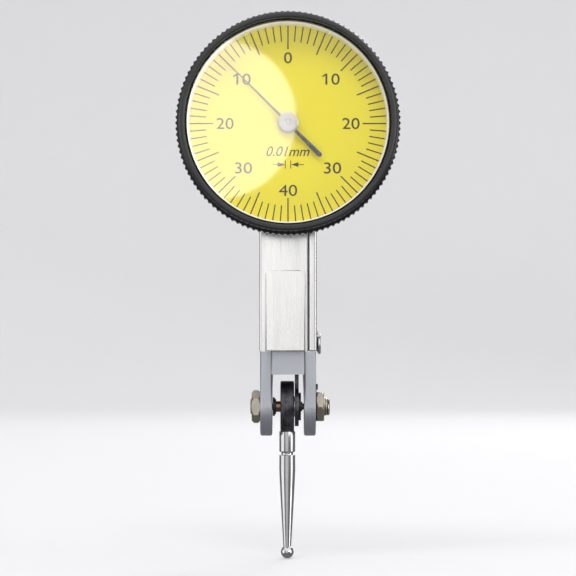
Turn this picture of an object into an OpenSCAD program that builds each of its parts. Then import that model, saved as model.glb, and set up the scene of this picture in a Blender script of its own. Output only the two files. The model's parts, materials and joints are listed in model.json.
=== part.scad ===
// Lever-type dial test indicator: 0.8 mm of stylus travel, read in hundredths of a millimetre.
// The origin lies on the land of the back dovetail rail, halfway along it and in line with the dial.
// +Z runs up the body to the dial, the dial faces -Y, and the cover plate is on the +X side.
// "Rise" is a height above the stylus pivot, and "depth" a distance from the middle of the body
// towards the reader of the dial.

/* [Body] */
// Width of the body with its cover plate
body_w = 8.8; // [8.6:0.1:9.4]
// Depth of the body between its front and back faces
body_d = 9; // [9:0.1:9.6]
// Wall thickness of the body
wall = 1; // [0.9:0.05:1.1]
// Thickness of the side cover plate
cover_t = 1.25; // [1.1:0.05:1.3]
// Bevel along the long edges of the body
edge_bevel = 0.25; // [0.1:0.05:0.4]
// Distance from the stylus pivot to the centre of the dial
pivot_to_dial = 42.9; // [42.9:0.1:44]
// Height of the body above the centre of the dial
body_above_dial = 13.2; // [13:0.1:13.4]

/* [Dovetail rails] */
// Width of a rail across its land
rail_w = 6.35; // [6.2:0.05:6.5]
// Height of a rail above the body
rail_h = 1.7; // [1.5:0.05:1.8]
// Angle of the rail's flanks, in degrees
rail_angle = 60; // [55:1:65]
// Sideways place of the rails from the middle of the body
rail_x = -0.4; // [-0.5:0.05:-0.3]
// Length of the front rail
front_rail_l = 12.2; // [11:0.1:12.4]
// Length of the back rail
back_rail_l = 26.8; // [24:0.1:28]

/* [Clevis] */
// Width of the clevis across its two ears
clevis_w = 8.54; // [8.4:0.02:8.6]
// Thickness of the ears
ear_t = 1.85; // [1.7:0.05:1.9]
// Rise of the block that joins the ears
block_rise = 5; // [4.8:0.1:5.2]
// Rise of the body's lower end, where the block ends
body_rise = 8.6; // [8.4:0.1:8.8]

/* [Stylus] */
// Distance from the pivot to the centre of the ball
stylus_reach = 22.4; // [20:0.1:26]
// Radius of the ball
ball_r = 1; // [0.9:0.05:1.1]
// Radius of the stylus where it is thickest
stylus_r = 1.25; // [1.15:0.05:1.3]
// Radius of the stylus at the ball
stylus_tip_r = 0.6; // [0.5:0.05:0.65]
// Radius of the holder that turns on the lever's axle
holder_r = 3.95; // [3.9:0.05:4]

/* [Bezel and dial] */
// Outer radius over the knurl
bezel_r = 17; // [16.9:0.05:17.2]
// Number of flutes around the bezel
flute_count = 120; // [100:2:130]
// Depth of the flutes
flute_depth = 0.25; // [0.15:0.01:0.28]
// Radius of the opening for the crystal
crystal_r = 15.45; // [15.4:0.01:15.5]
// Depth of the bezel's front face
bezel_face = 13.4; // [13.3:0.05:13.6]
// Depth of the dial plate's printed face
dial_face = 9.4; // [9.3:0.05:9.5]

/* [Hand] */
// Length of the pointing end
hand_l = 14.3; // [13.5:0.1:14.4]
// Length of the counterweight end
tail_l = 7.05; // [6:0.05:7.5]
// Direction of the hand at rest, clockwise from straight up
hand_angle = -45; // [-180:5:180]

/* [Gears] */
// Teeth of a whole circle of the sector lever
sector_teeth = 192; // [192]
// Teeth of the pinion on the crown gear's arbor
crown_pinion_teeth = 12; // [12]
// Module of the sector lever and its pinion
sector_module = 0.15; // [0.15]
// Teeth of the crown gear
crown_teeth = 60; // [60]
// Teeth of the pinion on the hand's arbor
center_pinion_teeth = 10; // [10]
// Module of the crown gear and its pinion
crown_module = 0.125; // [0.125]
// Ratio of the lever's inner arm to the sector lever's forked arm
lever_ratio = 1.83333; // [1.83333]

/* [Hidden] */
$fn = 96;

// Colours
satin_chrome = [0.78, 0.79, 0.81];
bright_steel = [0.72, 0.72, 0.74];
warm_nickel = [0.74, 0.71, 0.66];
black_steel = [0.16, 0.16, 0.17];
black_enamel = [0.07, 0.07, 0.08];
dial_yellow = [0.91, 0.87, 0.25];
ivory = [0.95, 0.94, 0.88];
brass = [0.80, 0.65, 0.33];
ruby = [0.75, 0.12, 0.25];
clear_glass = [0.9, 0.95, 0.95, 0.3];

// Clearances
running = 0.03;   // radial, between a shaft and its hole
loose = 0.1;      // between pieces that pass each other
deep = 0.02;      // how far a cutter passes the face that it opens

// Heights and depths of the body in the part's own frame
mid_y = -(body_d / 2 + rail_h);
pivot_z = -(body_rise + back_rail_l / 2);
dial_z = pivot_z + pivot_to_dial;
body_bottom = pivot_z + body_rise;
body_top = dial_z + body_above_dial;
body_left = -body_w / 2;
joint_x = body_w / 2 - cover_t;
joint_bevel = 0.12;
rail_root = rail_w - 2 * rail_h / tan(rail_angle);

// The channel inside the frame, and the solid ends above and below it
solid_end_rise = 12.6;
solid_top_h = 3.5;
channel_left = body_left + wall;
channel_back = body_d / 2 - wall;
channel_bottom = pivot_z + solid_end_rise;
channel_top = body_top - solid_top_h;
window_w = 3.8;
window_h = 9.4;

// Clevis
ear_r = body_d / 2;
gap_left = -clevis_w / 2 + ear_t;
gap_right = clevis_w / 2 - ear_t + 0.03;
ear_bevel = 0.2;
left_thread_r = 1.25;
right_thread_r = 1.4;

// Pieces on the lever's axle, from left to right
collar_left = gap_left + 0.07;
axle_r = 0.84;
holder_left = -1.17;
holder_right = 0.94;
plate_left = 1.05;
plate_t = 0.6;
washer_right = 2;
axle_right = 2.2;

// Lever geometry: the pivots stand in one vertical line
crown_back = 0.9;                 // the crown arbor lies this far in front of mid-depth
pinion_pitch_r = sector_module * crown_pinion_teeth / 2;
sector_pitch_r = sector_module * sector_teeth / 2;
sector_to_crown = sector_pitch_r + pinion_pitch_r;
sector_lean = asin(crown_back / sector_to_crown);
sector_rise = pivot_to_dial - sector_to_crown * cos(sector_lean);
pin_rise = sector_rise * lever_ratio / (1 + lever_ratio);
pin_r = 0.35;
sector_plate_x = -0.5;
sector_plate_t = 0.6;

// Crown gear and the pinion of the hand
crown_pitch_r = crown_module * crown_teeth / 2;
center_pitch_r = crown_module * center_pinion_teeth / 2;
crown_rim_in = 3.3;
crown_rim_out = 4.2;
crown_disc_x = 0.85;
crown_disc_t = 0.45;
crown_tooth_x = center_pitch_r - crown_module;

// Arbors and jewels
arbor_r = 0.4;
arbor_pivot_r = 0.2;
center_r = 0.35;
center_pivot_r = 0.225;
jewel_r = 0.7;
jewel_t = 0.6;
side_bridge_x = 2.2;

// Layers in front of the frame, as depths
case_floor = body_d / 2 + 1;
case_rim = 8.7;
case_r = 15.8;
case_wall = 0.9;
upper_bridge_back = 7.9;
upper_bridge_t = 0.6;
pillar_span = 11;
hand_back = 10.05;
hand_t = 0.15;
seal_back = 11.6;
crystal_back = 11.8;
crystal_edge = 12.85;
crystal_dome = 13.3;
shelf_back = dial_face - 0.6;
dial_back = dial_face - 0.3;

// Return spring
spring_post_y = 2.7;
spring_post_rise = 14.2;
spring_x = 0.3;
spring_w = 0.6;
spring_t = 0.12;

// ---------------------------------------------------------------- helpers

// Children drawn around the stylus pivot
module at_pivot() translate([0, mid_y, pivot_z]) children();

// Children drawn on the dial's axis, with +Z towards the reader and +Y up
module at_dial() translate([0, mid_y, dial_z]) rotate([90, 0, 0]) children();

// A side view, drawn with x as depth to the back and y as height, extruded from x0 by t
module across(x0, t) translate([x0, 0, 0]) rotate([90, 0, 90]) linear_extrude(t) children();

// A round piece whose own axis is Z, laid along X with its base at x0
module along_x(x0 = 0) translate([x0, 0, 0]) rotate([0, 90, 0]) children();

module ring(outer, inner, h) difference() {
    cylinder(r = outer, h = h);
    translate([0, 0, -deep]) cylinder(r = inner, h = h + 2 * deep);
}

// A disc with bevelled rims
module bevelled_disc(r, h, bevel) rotate_extrude()
    polygon([[0, 0], [r - bevel, 0], [r, bevel], [r, h - bevel], [r - bevel, h], [0, h]]);

function bevelled_box(x0, x1, y0, y1, left, right) = [
    [x0 + left, y0], [x1 - right, y0], [x1, y0 + right], [x1, y1 - right],
    [x1 - right, y1], [x0 + left, y1], [x0, y1 - left], [x0, y0 + left]
];

function polar(r, a) = [r * cos(a), r * sin(a)];

// Outline of a gear: each tooth is a trapezium, as wide as given at its root and at its tip
function gear_outline(teeth, root_r, tip_r, root_w, tip_w) = [
    for (i = [0 : teeth - 1])
        for (corner = [[root_r, -root_w], [tip_r, -tip_w], [tip_r, tip_w], [root_r, root_w]])
            polar(corner[0], 360 * i / teeth + asin(corner[1] / 2 / corner[0]))
];

// A slotted screw: its head stands on z = 0 and its shank hangs below
module slotted_screw(head_r, head_h, shank_r, shank_l, bevel = 0.1) difference() {
    union() {
        rotate_extrude() polygon([
            [0, 0], [head_r, 0], [head_r, head_h - bevel], [head_r - bevel, head_h], [0, head_h]
        ]);
        translate([0, 0, -shank_l]) cylinder(r = shank_r, h = shank_l + deep);
    }
    translate([-head_r - deep, -head_r * 0.12, head_h * 0.5])
        cube([2 * (head_r + deep), head_r * 0.24, head_h]);
}

// Section of a dovetail rail that stands up from y = 0
module rail_section() {
    lip = 0.2;
    lip_run = lip / tan(rail_angle);
    polygon([
        [-rail_root / 2, -deep], [-rail_root / 2, 0], [-rail_w / 2 + lip_run, rail_h - lip],
        [-rail_w / 2 + lip, rail_h], [rail_w / 2 - lip, rail_h], [rail_w / 2 - lip_run, rail_h - lip],
        [rail_root / 2, 0], [rail_root / 2, -deep]
    ]);
}

// What is cut from a rail's corner, seen square to its land, to leave radius r
module corner_cutter(r) {
    slack = 0.5;
    rotate([90, 0, 0]) translate([0, 0, -slack]) linear_extrude(rail_h + 2 * slack) difference() {
        square(r + slack);
        circle(r = r);
    }
}

// ---------------------------------------------------------------- frame and cover

cover_screw_places = [[2.8, body_rise + 1.95], [2.6, pivot_to_dial + 11.6], [-2.6, pivot_to_dial + 11.6]];
cover_screw_shank_r = 0.6;
cover_screw_shank_l = 3.6;
collar_screw_place = [-2.7, body_rise + 1.1];
collar_screw_shank_r = 0.7;

module ear(x0, x1) {
    t = x1 - x0;
    along_x(x0) rotate([0, 0, -90]) rotate_extrude(angle = 180) polygon([
        [0, 0], [ear_r - ear_bevel, 0], [ear_r, ear_bevel], [ear_r, t - ear_bevel],
        [ear_r - ear_bevel, t], [0, t]
    ]);
    linear_extrude(body_rise) polygon(bevelled_box(x0, x1, -ear_r, ear_r, ear_bevel, ear_bevel));
}

module clevis() {
    inset = 0.15;
    ear(-clevis_w / 2, gap_left);
    ear(gap_right, clevis_w / 2);
    translate([gap_left - ear_bevel, -ear_r + inset, block_rise])
        cube([gap_right - gap_left + 2 * ear_bevel, 2 * (ear_r - inset), body_rise - block_rise + deep]);
}

module front_rail() {
    left_corner = 0.9;
    right_corner = 0.5;
    top = body_bottom + front_rail_l;
    land_y = mid_y - body_d / 2;
    difference() {
        translate([rail_x, land_y, body_bottom]) rotate([0, 0, 180])
            linear_extrude(front_rail_l) rail_section();
        translate([rail_x - rail_w / 2 + left_corner, land_y, top - left_corner])
            mirror([1, 0, 0]) corner_cutter(left_corner);
        translate([rail_x + rail_w / 2 - right_corner, land_y, top - right_corner])
            corner_cutter(right_corner);
    }
}

module back_rail() {
    corner = 0.8;
    difference() {
        translate([rail_x, mid_y + body_d / 2, body_bottom])
            linear_extrude(back_rail_l) rail_section();
        for (side = [-1, 1])
            translate([rail_x + side * (rail_w / 2 - corner), mid_y + body_d / 2 + rail_h,
                body_bottom + back_rail_l - corner])
                scale([side, 1, 1]) corner_cutter(corner);
    }
}

module end_rail() translate([rail_x, mid_y + body_d / 2, body_top]) rotate([90, 0, 0])
    linear_extrude(body_d) rail_section();

// The slot in which the lever passes from the clevis into the channel
module lever_slot() {
    slot_half = 1.6;
    translate([plate_left - 0.2, mid_y - slot_half, pivot_z + block_rise - 1])
        cube([plate_t + 0.4, 2 * slot_half, solid_end_rise - block_rise + 2]);
}

module frame_holes() {
    at_pivot() {
        along_x(-clevis_w) cylinder(r = left_thread_r, h = clevis_w);
        along_x(0) cylinder(r = right_thread_r, h = clevis_w);
        for (place = cover_screw_places)
            translate([0, place[0], place[1]]) along_x(body_w / 2 - cover_screw_shank_l)
                cylinder(r = cover_screw_shank_r, h = cover_screw_shank_l);
        translate([0, collar_screw_place[0], collar_screw_place[1]])
            along_x(body_w / 2 - cover_screw_shank_l)
                cylinder(r = collar_screw_shank_r, h = cover_screw_shank_l);
        for (place = [[-crown_back, pivot_to_dial], [0, sector_rise]])
            translate([0, place[0], place[1]]) along_x(channel_left - jewel_t) {
                cylinder(r = jewel_r, h = jewel_t + deep);
                translate([0, 0, -0.15]) cylinder(r = arbor_r, h = jewel_t);
            }
        for (place = side_pillar_places)
            translate([0, place[0], place[1]]) along_x(channel_left - side_spigot_l)
                cylinder(r = side_spigot_r, h = side_spigot_l + deep);
        translate([0, spring_post_y, spring_post_rise]) along_x(channel_left - side_spigot_l)
            cylinder(r = spring_post_r, h = side_spigot_l + deep);
    }
    at_dial() {
        for (place = case_screw_places)
            translate([place[0], place[1], channel_back - deep])
                cylinder(r = case_screw_r, h = wall + 2 * deep);
        translate([lower_bridge_x, lower_screw_y, channel_back - deep])
            cylinder(r = lower_screw_r, h = lower_screw_l + deep);
    }
}

module window(depth, h) at_dial() translate([-window_w / 2, -window_h / 2, depth])
    cube([window_w, window_h, h]);

module frame() color(satin_chrome) difference() {
    union() {
        translate([0, mid_y, body_bottom]) linear_extrude(body_top - body_bottom) polygon(
            bevelled_box(body_left, joint_x, -body_d / 2, body_d / 2, edge_bevel, joint_bevel));
        at_pivot() clevis();
        front_rail();
        back_rail();
        end_rail();
    }
    translate([channel_left, mid_y - channel_back, channel_bottom])
        cube([body_w, 2 * channel_back, channel_top - channel_bottom]);
    at_pivot() translate([gap_left, -body_d, -body_d])
        cube([gap_right - gap_left, 2 * body_d, body_d + block_rise]);
    lever_slot();
    window(channel_back - deep, wall + 2 * deep);
    frame_holes();
}

module side_cover() {
    seat = 0.02;
    groove_h = 0.12;
    groove_d = 0.5;
    color(satin_chrome) difference() {
        translate([0, mid_y, body_bottom + seat]) linear_extrude(body_top - body_bottom - seat)
            polygon(bevelled_box(joint_x, body_w / 2, -body_d / 2, body_d / 2, joint_bevel, edge_bevel));
        for (side = [-1, 1])
            translate([joint_x - 1, mid_y + side * body_d / 2 - groove_d, body_bottom - 1])
                cube([body_w, 2 * groove_d, groove_h + 1]);
        at_pivot() {
            for (place = cover_screw_places)
                translate([0, place[0], place[1]]) along_x(0)
                    cylinder(r = cover_screw_shank_r, h = body_w);
            translate([0, collar_screw_place[0], collar_screw_place[1]]) along_x(0)
                cylinder(r = collar_screw_shank_r, h = body_w);
        }
    }
}

module cover_screws() {
    head_r = 1.45;
    head_h = 0.3;
    color(bright_steel) at_pivot() for (place = cover_screw_places)
        translate([0, place[0], place[1]]) along_x(body_w / 2) rotate([0, 0, 30])
            slotted_screw(head_r, head_h, cover_screw_shank_r, cover_screw_shank_l - loose);
}

module collar_screw() {
    head_r = 1.6;
    head_h = 0.62;
    cone_h = 0.3;
    neck_r = 1.1;
    shank_l = cover_screw_shank_l - loose;
    slot_w = 0.35;
    color(bright_steel) at_pivot() translate([0, collar_screw_place[0], collar_screw_place[1]])
        along_x(body_w / 2) difference() {
            rotate_extrude() polygon([
                [0, -shank_l], [collar_screw_shank_r, -shank_l], [collar_screw_shank_r, 0], [neck_r, 0],
                [head_r, cone_h], [head_r, head_h - 0.1], [head_r - 0.1, head_h], [0, head_h]
            ]);
            translate([-head_r - deep, -slot_w / 2, head_h * 0.6])
                cube([2 * (head_r + deep), slot_w, head_h]);
        }
}

// ---------------------------------------------------------------- dial case

case_screw_places = [[-2.2, 7.2], [1.4, 7.2], [-0.6, -7.4]];
case_screw_r = 0.45;
bridge_screw_r = 0.4;
bridge_screw_l = 1.2;
ring_groove_back = 8;
ring_groove_w = 0.5;
spring_ring_t = 0.4;

module dial_case() color(bright_steel) at_dial() difference() {
    translate([0, 0, body_d / 2]) rotate_extrude() difference() {
        h = case_rim - body_d / 2;
        inner = case_r - case_wall;
        bevel = 0.3;
        polygon([[0, 0], [case_r - bevel, 0], [case_r, bevel], [case_r, h], [inner, h], [inner, 1], [0, 1]]);
        translate([case_r - 0.45, ring_groove_back - body_d / 2]) square([1, ring_groove_w]);
    }
    translate([-window_w / 2, -window_h / 2, 0]) cube([window_w, window_h, case_rim]);
    for (place = case_screw_places)
        translate([place[0], place[1], 0]) cylinder(r = case_screw_r, h = case_rim);
}

module case_screws() color(bright_steel) at_dial() for (place = case_screw_places)
    translate([place[0], place[1], case_floor])
        slotted_screw(0.85, 0.45, case_screw_r, 1.9);

// A split ring of wire in the groove of the case; the bezel's own groove runs over it
module bezel_spring_ring() color(bright_steel) at_dial()
    translate([0, 0, ring_groove_back + (ring_groove_w - spring_ring_t) / 2]) difference() {
        ring(case_r + 0.35, case_r - 0.4, spring_ring_t);
        translate([-0.75, -bezel_r - 1, -1]) cube([1.5, 4, 2]);
    }

// ---------------------------------------------------------------- bezel and dial

module bezel() {
    neck_r = 16.4;
    skirt_back = 7.6;
    knurl_back = 7.8;
    knurl_front = 10.6;
    lip_bevel = 0.25;
    bore = case_r + loose;
    inner_shelf = 14.6;
    flute_chord = 0.8;
    flute_r = (pow(flute_chord / 2, 2) + pow(flute_depth, 2)) / 2 / flute_depth;
    color(black_enamel) at_dial() union() {
        rotate_extrude() difference() {
            polygon([
                [bore, skirt_back], [neck_r, skirt_back], [neck_r, bezel_face - lip_bevel],
                [neck_r - lip_bevel, bezel_face], [crystal_r + 0.1, bezel_face],
                [crystal_r, bezel_face - 0.1], [crystal_r, dial_back], [inner_shelf, dial_back],
                [inner_shelf, shelf_back], [bore, shelf_back]
            ]);
            translate([bore - 1, ring_groove_back - 0.05]) square([1 + 0.35, ring_groove_w + 0.1]);
        }
        translate([0, 0, knurl_back]) linear_extrude(knurl_front - knurl_back) difference() {
            circle(r = bezel_r);
            circle(r = neck_r - 0.02);
            for (i = [0 : flute_count - 1])
                rotate(i * 360 / flute_count) translate([bezel_r - flute_depth + flute_r, 0])
                    circle(r = flute_r, $fn = 24);
        }
    }
}

module crystal() {
    rim_bevel = 0.3;
    dome_h = crystal_dome - crystal_edge;
    dome_r = (pow(crystal_r, 2) + pow(dome_h, 2)) / 2 / dome_h;
    color(clear_glass) at_dial() rotate_extrude() intersection() {
        polygon([
            [0, crystal_back], [crystal_r, crystal_back], [crystal_r, crystal_edge - rim_bevel],
            [crystal_r - rim_bevel, crystal_dome], [0, crystal_dome]
        ]);
        translate([0, crystal_dome - dome_r]) circle(r = dome_r, $fn = 720);
    }
}

module crystal_seal() color(black_enamel) at_dial() translate([0, 0, seal_back])
    ring(crystal_r, crystal_r - 0.3, crystal_back - seal_back);

module dial_ring() color(ivory) at_dial() rotate_extrude() polygon([
    [crystal_r, dial_face], [crystal_r, seal_back], [crystal_r - 0.4, seal_back],
    [crystal_r - 0.65, dial_face]
]);

module dial_plate() color(dial_yellow) at_dial() translate([0, 0, dial_back])
    ring(crystal_r, 1.1, dial_face - dial_back);

// ---------------------------------------------------------------- hand and its arbor

hub_front = 10.8;
arbor_front = 10.9;

module hand() {
    hub_r = 1.2;
    root_w = 0.38;
    tip_w = 0.12;
    paddle_w = 0.75;
    neck_w = 0.45;
    color(black_steel) at_dial() rotate(-hand_angle) translate([0, 0, hand_back])
        linear_extrude(hand_t) difference() {
            union() {
                circle(r = hub_r);
                polygon([[-root_w / 2, 0], [-tip_w / 2, hand_l], [tip_w / 2, hand_l], [root_w / 2, 0]]);
                polygon([
                    [-neck_w / 2, 0], [neck_w / 2, 0], [paddle_w / 2, -tail_l + paddle_w / 2],
                    [-paddle_w / 2, -tail_l + paddle_w / 2]
                ]);
                translate([0, -tail_l + paddle_w / 2]) circle(d = paddle_w);
            }
            circle(r = center_r);
        }
}

module hand_hub() color(bright_steel) at_dial() {
    flange_t = 0.15;
    front = hand_back + hand_t;
    step = arbor_front - 0.6;
    rotate_extrude() polygon([
        [center_r, front], [1.6, front], [1.6, front + flange_t], [1.4, front + flange_t + 0.05],
        [1.4, hub_front - 0.1], [1.3, hub_front], [center_pivot_r, hub_front],
        [center_pivot_r, step], [center_r, step]
    ]);
}

module hand_bush() color(brass) at_dial() translate([0, 0, dial_face + 0.3])
    ring(0.9, center_r, hand_back - dial_face - 0.3);

module center_arbor() color(bright_steel) at_dial() rotate_extrude() polygon([
    [0, 2.95], [center_pivot_r, 2.95], [center_pivot_r, 3.7], [center_r, 3.7],
    [center_r, arbor_front - 0.6], [center_pivot_r, arbor_front - 0.6],
    [center_pivot_r, arbor_front], [0, arbor_front]
]);

module center_pinion() {
    tooth_w = 0.13;
    tip_w = 0.07;
    color(brass) at_dial() rotate(180 / center_pinion_teeth)
        translate([0, 0, crown_rim_in + crown_back - 0.3])
            linear_extrude(crown_rim_out - crown_rim_in + 0.3) difference() {
                polygon(gear_outline(center_pinion_teeth, center_pitch_r - 0.16,
                    center_pitch_r + 0.1, tooth_w, tip_w));
                circle(r = center_r);
            }
}

collet_r = 0.9;
hairspring_back = 7.3;
hairspring_w = 0.3;
hairspring_turns = 5;
hairspring_t = 0.08;
hairspring_r = 3.5;

module hairspring_collet() color(brass) at_dial() translate([0, 0, hairspring_back - 0.15])
    ring(collet_r, center_r, hairspring_w + 0.3);

// A flat spiral whose ends both point to the stud
module hairspring() {
    steps = 24 * hairspring_turns;
    inner = collet_r + hairspring_t / 2;
    function place(i, side) = polar(inner + (hairspring_r - inner) * i / steps
        + side * hairspring_t / 2, 360 * hairspring_turns * i / steps);
    color(bright_steel) at_dial() translate([0, 0, hairspring_back]) linear_extrude(hairspring_w)
        polygon([
            for (i = [0 : steps]) place(i, -1),
            for (i = [steps : -1 : 0]) place(i, 1)
        ]);
}

module hairspring_stud() color(bright_steel) at_dial()
    translate([hairspring_r + hairspring_t / 2, -0.3, hairspring_back - 0.1])
        cube([0.6, 0.6, upper_bridge_back - hairspring_back + 0.1]);

module at_pillars() for (side = [-1, 1]) translate([side * pillar_span / 2, 0, 0]) children();

module upper_bridge() {
    bridge_w = 3;
    color(brass) at_dial() translate([0, 0, upper_bridge_back]) linear_extrude(upper_bridge_t)
        difference() {
            union() {
                square([pillar_span, bridge_w], center = true);
                at_pillars() circle(d = bridge_w);
                circle(r = 2.2);
            }
            circle(r = jewel_r);
            at_pillars() circle(r = bridge_screw_r);
        }
}

module bridge_pillars() color(brass) at_dial() at_pillars() translate([0, 0, case_floor]) difference() {
    cylinder(r = 1, h = upper_bridge_back - case_floor);
    translate([0, 0, upper_bridge_back - case_floor - bridge_screw_l])
        cylinder(r = bridge_screw_r, h = bridge_screw_l + deep);
}

module bridge_screws() color(bright_steel) at_dial() at_pillars()
    translate([0, 0, upper_bridge_back + upper_bridge_t])
        slotted_screw(0.8, 0.25, bridge_screw_r, upper_bridge_t + bridge_screw_l - loose, 0.05);

// ---------------------------------------------------------------- lower bridge of the hand's arbor

lower_bridge_x = -0.45;
lower_bridge_w = 1.6;
lower_bridge_t = 0.5;
lower_screw_y = 6.2;
lower_screw_r = 0.35;
lower_screw_l = 0.8;

module lower_bridge() color(brass) at_dial() translate([0, 0, channel_back - lower_bridge_t])
    linear_extrude(lower_bridge_t) difference() {
        union() {
            circle(r = 0.75);
            translate([lower_bridge_x - lower_bridge_w / 2, 0])
                square([lower_bridge_w, lower_screw_y + 1]);
        }
        circle(r = center_jewel_r);
        translate([lower_bridge_x, lower_screw_y]) circle(r = lower_screw_r);
    }

module lower_bridge_screw() color(bright_steel) at_dial()
    translate([lower_bridge_x, lower_screw_y, channel_back - lower_bridge_t]) rotate([180, 0, 0])
        slotted_screw(0.7, 0.35, lower_screw_r, lower_bridge_t + lower_screw_l - loose, 0.05);

center_jewel_r = 0.5;

module center_jewels() color(ruby) at_dial() {
    translate([0, 0, channel_back - lower_bridge_t])
        ring(center_jewel_r, center_pivot_r + running, lower_bridge_t);
    translate([0, 0, upper_bridge_back]) ring(jewel_r, center_r + running, upper_bridge_t);
}

// ---------------------------------------------------------------- crown gear and sector lever

// Children drawn around the crown gear's arbor or the sector lever's arbor, side view
module at_crown() at_pivot() translate([0, -crown_back, pivot_to_dial]) children();
module at_sector() at_pivot() translate([0, 0, sector_rise]) children();

module crown_gear() {
    tooth_w = 0.13;
    tooth_h = crown_disc_x - crown_tooth_x;
    hub_r = 0.9;
    hub_t = 0.5;
    spoke_hole_r = 0.9;
    spoke_hole_at = 2.1;
    color(brass) at_crown() difference() {
        union() {
            along_x(crown_disc_x) cylinder(r = crown_rim_out, h = crown_disc_t);
            along_x(crown_disc_x) cylinder(r = hub_r, h = crown_disc_t + hub_t);
            across(crown_tooth_x, tooth_h + deep) for (i = [0 : crown_teeth - 1])
                rotate(i * 360 / crown_teeth) translate([crown_rim_in, -tooth_w / 2])
                    square([crown_rim_out - crown_rim_in - 0.05, tooth_w]);
        }
        along_x(0) cylinder(r = arbor_r, h = body_w);
        for (i = [0 : 4]) rotate([72 * i, 0, 0]) translate([0, spoke_hole_at, 0])
            along_x(0) cylinder(r = spoke_hole_r, h = body_w);
    }
}

module cross_arbor() {
    left = channel_left - jewel_t + 0.05;
    right = side_bridge_x + jewel_t - 0.05;
    shoulder = 0.1;
    along_x(left) cylinder(r = arbor_pivot_r, h = right - left);
    along_x(channel_left + shoulder)
        cylinder(r = arbor_r, h = side_bridge_x - channel_left - 2 * shoulder);
}

module crown_arbor() color(bright_steel) at_crown() cross_arbor();

module crown_pinion() {
    tooth_w = 0.16;
    tip_w = 0.09;
    color(bright_steel) at_crown() across(sector_plate_x - 0.2, sector_plate_t + 0.4) difference() {
        rotate(90 + sector_lean - 180 / crown_pinion_teeth) polygon(gear_outline(crown_pinion_teeth,
            pinion_pitch_r - 0.18, pinion_pitch_r + 0.13, tooth_w, tip_w));
        circle(r = arbor_r);
    }
}

module cross_jewels() for (x = [channel_left - jewel_t, side_bridge_x])
    along_x(x) ring(jewel_r, arbor_pivot_r + running, jewel_t);

module crown_jewels() color(ruby) at_crown() cross_jewels();

module sector_jewels() color(ruby) at_sector() cross_jewels();

module sector_lever() {
    teeth = 7;
    pitch_a = 360 / sector_teeth;
    root_r = sector_pitch_r - 0.18;
    tip_r = sector_pitch_r + 0.13;
    root_w = 0.16;
    tip_w = 0.09;
    rim_in = root_r - 0.9;
    half_a = pitch_a * teeth / 2;
    arm_w = 1.3;
    hub_r = 1.3;
    fork_w = 2;
    fork_end = sector_rise - pin_rise + 1.1;
    slot_w = 2 * (pin_r + running);
    slot_l = 2.2;
    rim_overlap = 0.3;
    color(bright_steel) at_sector() difference() {
        union() {
            across(sector_plate_x, sector_plate_t) rotate(90 + sector_lean) {
                polygon([
                    for (i = [-(teeth - 1) / 2 : (teeth - 1) / 2])
                        for (corner = [[root_r, -root_w], [tip_r, -tip_w], [tip_r, tip_w], [root_r, root_w]])
                            polar(corner[0], pitch_a * i + asin(corner[1] / 2 / corner[0])),
                    polar(root_r, half_a),
                    polar(rim_in, half_a),
                    polar(rim_in, -half_a),
                    polar(root_r, -half_a)
                ]);
                translate([hub_r / 2, -arm_w / 2]) square([rim_in + rim_overlap - hub_r / 2, arm_w]);
            }
            across(sector_plate_x, sector_plate_t) circle(r = hub_r);
            across(sector_plate_x, sector_plate_t) polygon([
                [-arm_w / 2, -hub_r / 2], [arm_w / 2, -hub_r / 2],
                [fork_w / 2, -fork_end], [-fork_w / 2, -fork_end]
            ]);
        }
        across(sector_plate_x - deep, sector_plate_t + 2 * deep) {
            circle(r = arbor_r);
            translate([-slot_w / 2, -fork_end - deep]) square([slot_w, slot_l]);
        }
    }
}

module sector_arbor() color(bright_steel) at_sector() cross_arbor();

side_pillar_places = [[2.5, sector_rise - 3], [-2.5, sector_rise - 3], [0, pivot_to_dial + 7.3]];
side_pillar_r = 0.9;
side_spigot_r = 0.5;
side_spigot_l = 0.5;
side_screw_r = 0.4;
side_screw_l = 1.4;

module side_bridge() {
    low = sector_rise - 4.3;
    high = pivot_to_dial + 8.6;
    half = channel_back - loose;
    color(brass) at_pivot() across(side_bridge_x, jewel_t) difference() {
        translate([-half, low]) square([2 * half, high - low]);
        translate([-crown_back, pivot_to_dial]) circle(r = jewel_r);
        translate([0, sector_rise]) circle(r = jewel_r);
        for (place = side_pillar_places) translate(place) circle(r = side_screw_r);
    }
}

module side_bridge_pillars() color(brass) at_pivot() for (place = side_pillar_places)
    translate([0, place[0], place[1]]) difference() {
        union() {
            along_x(channel_left) cylinder(r = side_pillar_r, h = side_bridge_x - channel_left);
            along_x(channel_left - side_spigot_l) cylinder(r = side_spigot_r, h = side_spigot_l + deep);
        }
        along_x(side_bridge_x - side_screw_l) cylinder(r = side_screw_r, h = side_screw_l + deep);
    }

module side_bridge_screws() color(bright_steel) at_pivot() for (place = side_pillar_places)
    translate([0, place[0], place[1]]) along_x(side_bridge_x + jewel_t)
        slotted_screw(0.75, 0.28, side_screw_r, jewel_t + side_screw_l - loose, 0.05);

// ---------------------------------------------------------------- lever and axle

module lever_plate() {
    boss_r = 3.05;
    foot_w = 2.6;
    head_w = 1.8;
    color(black_steel) at_pivot() across(plate_left, plate_t) difference() {
        union() {
            circle(r = boss_r);
            polygon([[-foot_w / 2, 0], [foot_w / 2, 0], [head_w / 2, pin_rise], [-head_w / 2, pin_rise]]);
            translate([0, pin_rise]) circle(d = head_w);
        }
        circle(r = axle_r);
        translate([0, pin_rise]) circle(r = pin_r);
    }
}

module drive_pin() color(bright_steel) at_pivot() translate([0, 0, pin_rise])
    along_x(sector_plate_x - 0.2) cylinder(r = pin_r, h = plate_left + plate_t - sector_plate_x + 0.2);

// Both ends of the axle have a centre for the cone of a pivot screw
cone_r = 0.5;
cone_tip_r = 0.12;
cone_l = 0.55;

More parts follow.
